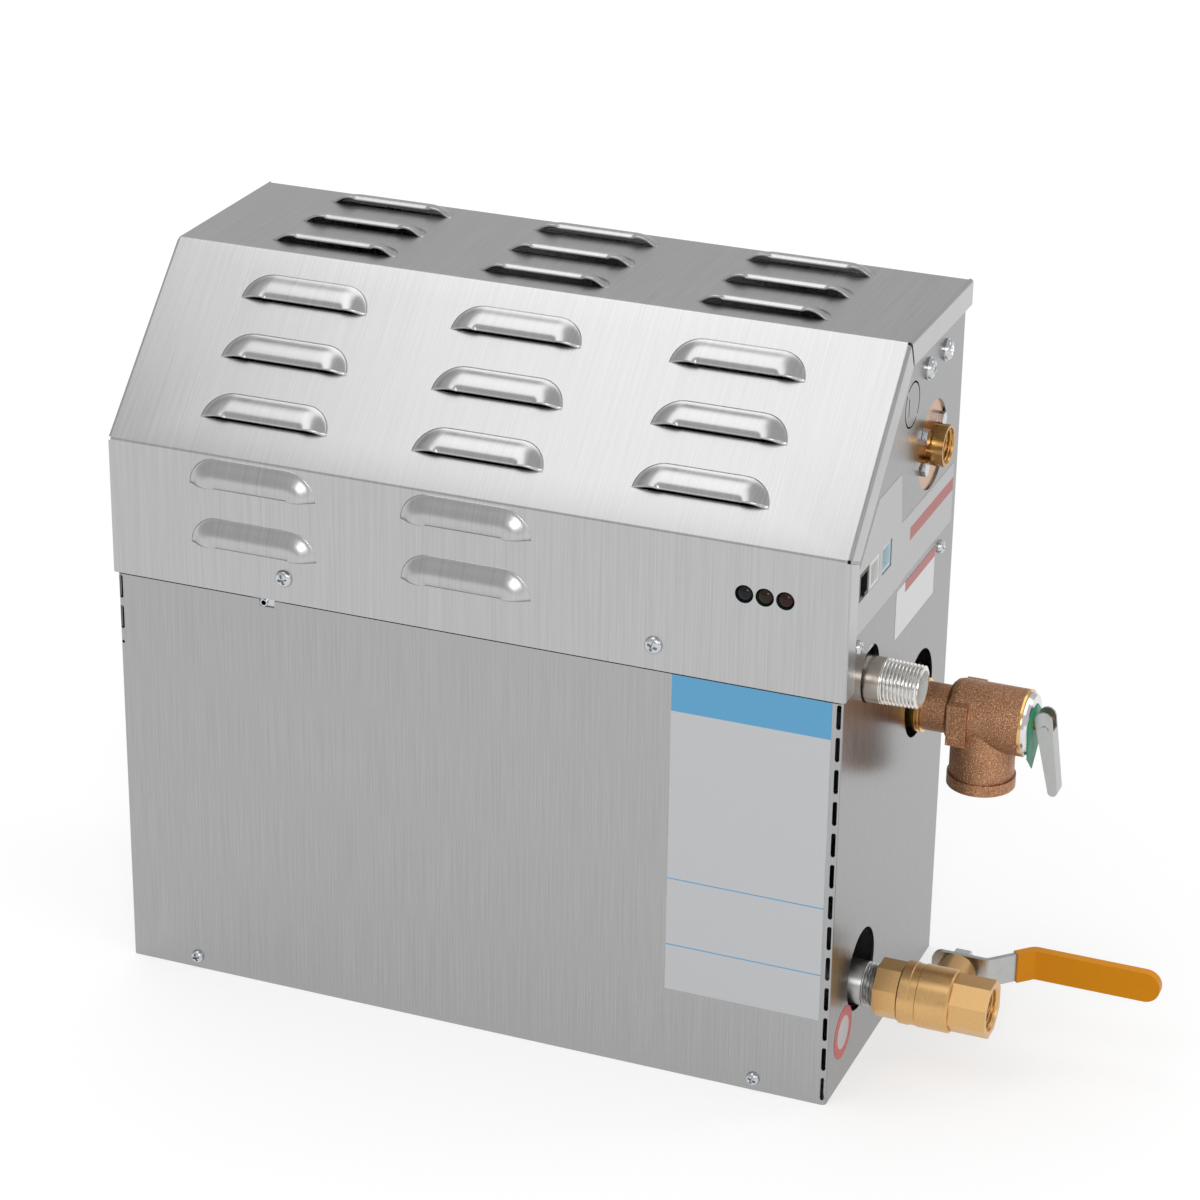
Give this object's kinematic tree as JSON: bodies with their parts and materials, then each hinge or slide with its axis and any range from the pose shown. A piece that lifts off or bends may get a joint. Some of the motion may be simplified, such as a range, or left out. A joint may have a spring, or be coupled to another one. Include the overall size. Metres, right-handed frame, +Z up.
{
  "type": "steam generator",
  "caption": "Compact cabinet with a louvred folded hood, a hidden boiler tank, and a steam outlet, safety valve, water inlet and lever drain valve on one side.",
  "frame": {"origin": "middle of the cabinet's bottom face", "axes": "+X to the side with the pipe connections, -Y to the front with the lamps, +Z up"},
  "size_m": [0.5172, 0.1835, 0.3708],
  "materials": {
    "stainless": "brushed stainless sheet",
    "galvanised": "galvanised sheet",
    "zinc": "bright zinc plating",
    "chrome": "polished plating",
    "brass": "satin brass",
    "bronze": "tumbled cast bronze",
    "copper": "drawn copper",
    "lamp": "dark tinted lens",
    "board": "solder resist",
    "black_plastic": "moulded",
    "white_plastic": "moulded",
    "blue_plastic": "moulded",
    "core": "varnished laminations",
    "gasket": "matte",
    "seat_plastic": "waxy",
    "tag": "printed sheet",
    "vinyl": "dipped vinyl"
  },
  "bodies": {
    "cabinet": {"base_pan": "galvanised", "lower_wrap": "stainless", "back_panel": "stainless", "hood_cover": "stainless", "electrical_shelf": "galvanised", "cover_screws": "zinc", "shelf_screws": "zinc", "base_screws": "zinc", "bracket_screws": "zinc", "cover_locator": "zinc", "indicator_lights": "lamp", "lamp_board": "board", "control_board": "board", "board_standoffs": "brass", "remote_socket": "black_plastic", "white_port": "white_plastic", "blue_port": "blue_plastic", "transformer": "core", "contactor_base": "black_plastic", "terminal_block": "black_plastic", "tank_shell": "stainless", "tank_saddles": "galvanised", "element_flange": "stainless", "element_gasket": "gasket", "heating_element": "copper", "element_bolts": "zinc", "level_probe": "stainless", "overheat_cutout": "black_plastic", "fill_valve_body": "brass", "fill_valve_coil": "black_plastic", "fill_valve_spring": "zinc", "flange_screws": "zinc", "fill_valve_bracket": "galvanised", "fill_tube": "copper", "steam_pipe": "stainless", "relief_bushing": "bronze", "relief_body": "bronze", "relief_spring": "zinc", "relief_cap": "chrome", "relief_tag": "tag", "drain_pipe": "zinc", "drain_valve_body": "brass", "drain_valve_end": "brass", "drain_valve_seats": "seat_plastic", "packing_nut": "brass"},
    "drain_handle": {"drain_lever": "zinc", "lever_sleeve": "vinyl", "lever_nut": "zinc", "drain_valve_stem": "brass", "drain_valve_ball": "chrome"},
    "relief_stem": {"relief_disc": "brass", "relief_pin": "zinc"},
    "relief_lever": {"relief_lever": "zinc"},
    "fill_plunger": {"fill_valve_plunger": "stainless"},
    "contactor_armature": {"contactor_armature": "black_plastic"}
  },
  "joints": [
    {"name": "drain_handle_turn", "type": "hinge", "parent": "cabinet", "child": "drain_handle", "pos_m": [0.22865, -0.035, 0.0415], "axis": [0, -1, 0], "range_deg": [0, 90]},
    {"name": "relief_stem_slide", "type": "slide", "parent": "cabinet", "child": "relief_stem", "axis": [1, 0, 0], "range_m": [0, 0.0036], "deforming": ["relief_spring"]},
    {"name": "relief_lever_turn", "type": "hinge", "parent": "relief_stem", "child": "relief_lever", "pos_m": [0.25445, 0.038, 0.1611], "axis": [0, -1, 0], "range_deg": [0, 60], "stiffness_Nm_per_rad": 0.006, "springref_deg": -45.84},
    {"name": "fill_plunger_slide", "type": "slide", "parent": "cabinet", "child": "fill_plunger", "axis": [0, 0, 1], "range_m": [0, 0.0025], "stiffness_N_per_m": 400, "springref_m": -0.004, "deforming": ["fill_valve_spring"]},
    {"name": "contactor_armature_slide", "type": "slide", "parent": "cabinet", "child": "contactor_armature", "axis": [0, 0, -1], "range_m": [0, 0.003], "stiffness_N_per_m": 400, "springref_m": -0.005}
  ],
  "couplings": [
    {"joint": "relief_stem_slide", "follows": "relief_lever_turn", "m_per_rad": 0.0034377}
  ]
}
